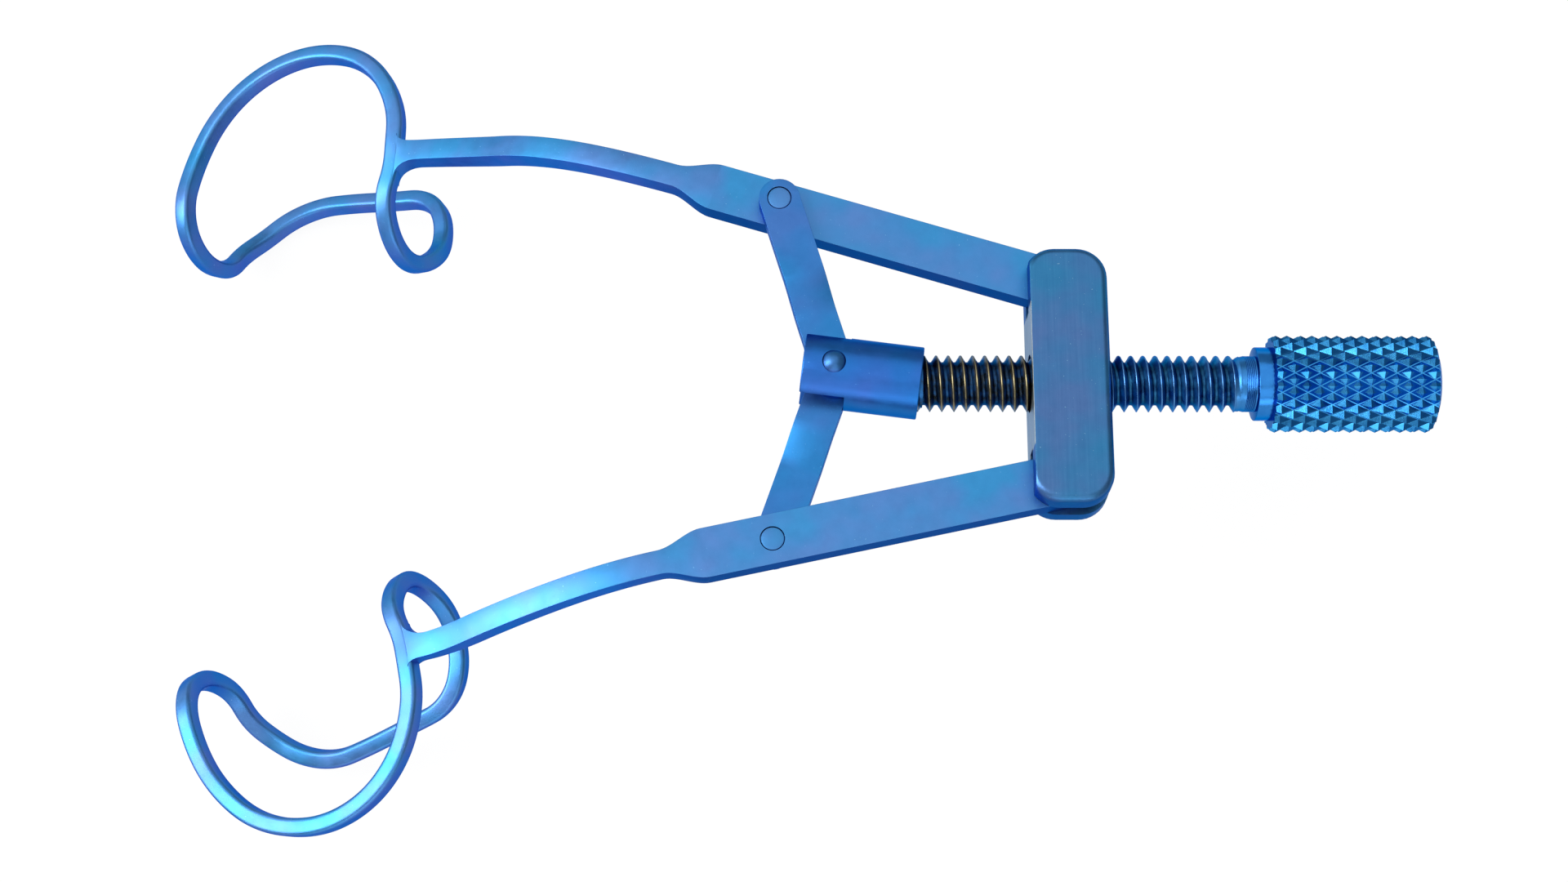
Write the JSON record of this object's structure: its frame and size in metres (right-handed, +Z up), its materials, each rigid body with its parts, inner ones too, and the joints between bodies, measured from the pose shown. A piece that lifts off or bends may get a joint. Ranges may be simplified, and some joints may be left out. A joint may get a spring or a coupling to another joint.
{
  "type": "eye speculum",
  "caption": "Adjustable wire eyelid speculum: two looped wire blades on pivoting arms, spread by links, a sleeve and a knurled thumb screw through a yoke.",
  "frame": {"origin": "middle of the yoke's flat underside", "axes": "+X along the screw to the knob, +Y to the upper blade, +Z up out of the plane of the arms"},
  "size_m": [0.0823, 0.0549, 0.0261],
  "materials": {
    "anodised_satin": "blue anodised titanium, satin, bead blasted",
    "anodised_brushed": "blue anodised titanium, finely brushed",
    "anodised_thread": "dark blue anodised titanium with bronze crests, threaded",
    "anodised_knurl": "blue anodised titanium, diamond knurled",
    "anodised_pin": "blue anodised titanium, polished pin ends"
  },
  "bodies": {
    "yoke": {"yoke": "anodised_brushed", "upper_arm_pivot_pin": "anodised_pin", "lower_arm_pivot_pin": "anodised_pin"},
    "upper_arm": {"upper_arm": "anodised_satin", "upper_blade": "anodised_satin", "upper_link_rivet": "anodised_pin"},
    "lower_arm": {"lower_arm": "anodised_satin", "lower_blade": "anodised_satin", "lower_link_rivet": "anodised_pin"},
    "upper_link": {"upper_link": "anodised_brushed"},
    "lower_link": {"lower_link": "anodised_brushed"},
    "sleeve": {"sleeve": "anodised_brushed", "sleeve_pin": "anodised_pin"},
    "screw": {"screw": "anodised_thread", "tip_washer": "anodised_pin", "knob": "anodised_knurl"}
  },
  "joints": [
    {"name": "sleeve_travel", "type": "slide", "parent": "yoke", "child": "sleeve", "axis": [1, 0, 0], "range_m": [-0.00058, 0.00575]},
    {"name": "screw_spin", "type": "hinge", "parent": "sleeve", "child": "screw", "pos_m": [0, 0, 0.0023], "axis": [1, 0, 0], "range_deg": [-281, 2761]},
    {"name": "upper_arm_swing", "type": "hinge", "parent": "yoke", "child": "upper_arm", "pos_m": [0, 0.00618, 0.0023], "axis": [0, 0, 1], "range_deg": [-1.42, 13.79]},
    {"name": "lower_arm_swing", "type": "hinge", "parent": "yoke", "child": "lower_arm", "pos_m": [0, -0.00618, 0.0023], "axis": [0, 0, -1], "range_deg": [-1.42, 13.79]},
    {"name": "upper_link_swing", "type": "hinge", "parent": "upper_arm", "child": "upper_link", "pos_m": [-0.01784, 0.01165, 0.0023], "axis": [0, 0, 1], "range_deg": [-2.68, 26.25]},
    {"name": "lower_link_swing", "type": "hinge", "parent": "lower_arm", "child": "lower_link", "pos_m": [-0.01824, -0.01013, 0.0023], "axis": [0, 0, -1], "range_deg": [-2.55, 24.98]}
  ],
  "couplings": [
    {"joint": "screw_spin", "follows": "sleeve_travel", "rad_per_m": 8377.6},
    {"joint": "upper_arm_swing", "follows": "sleeve_travel", "rad_per_m": 41.784},
    {"joint": "lower_arm_swing", "follows": "sleeve_travel", "rad_per_m": 41.784},
    {"joint": "upper_link_swing", "follows": "sleeve_travel", "rad_per_m": 79.62},
    {"joint": "lower_link_swing", "follows": "sleeve_travel", "rad_per_m": 75.759}
  ]
}
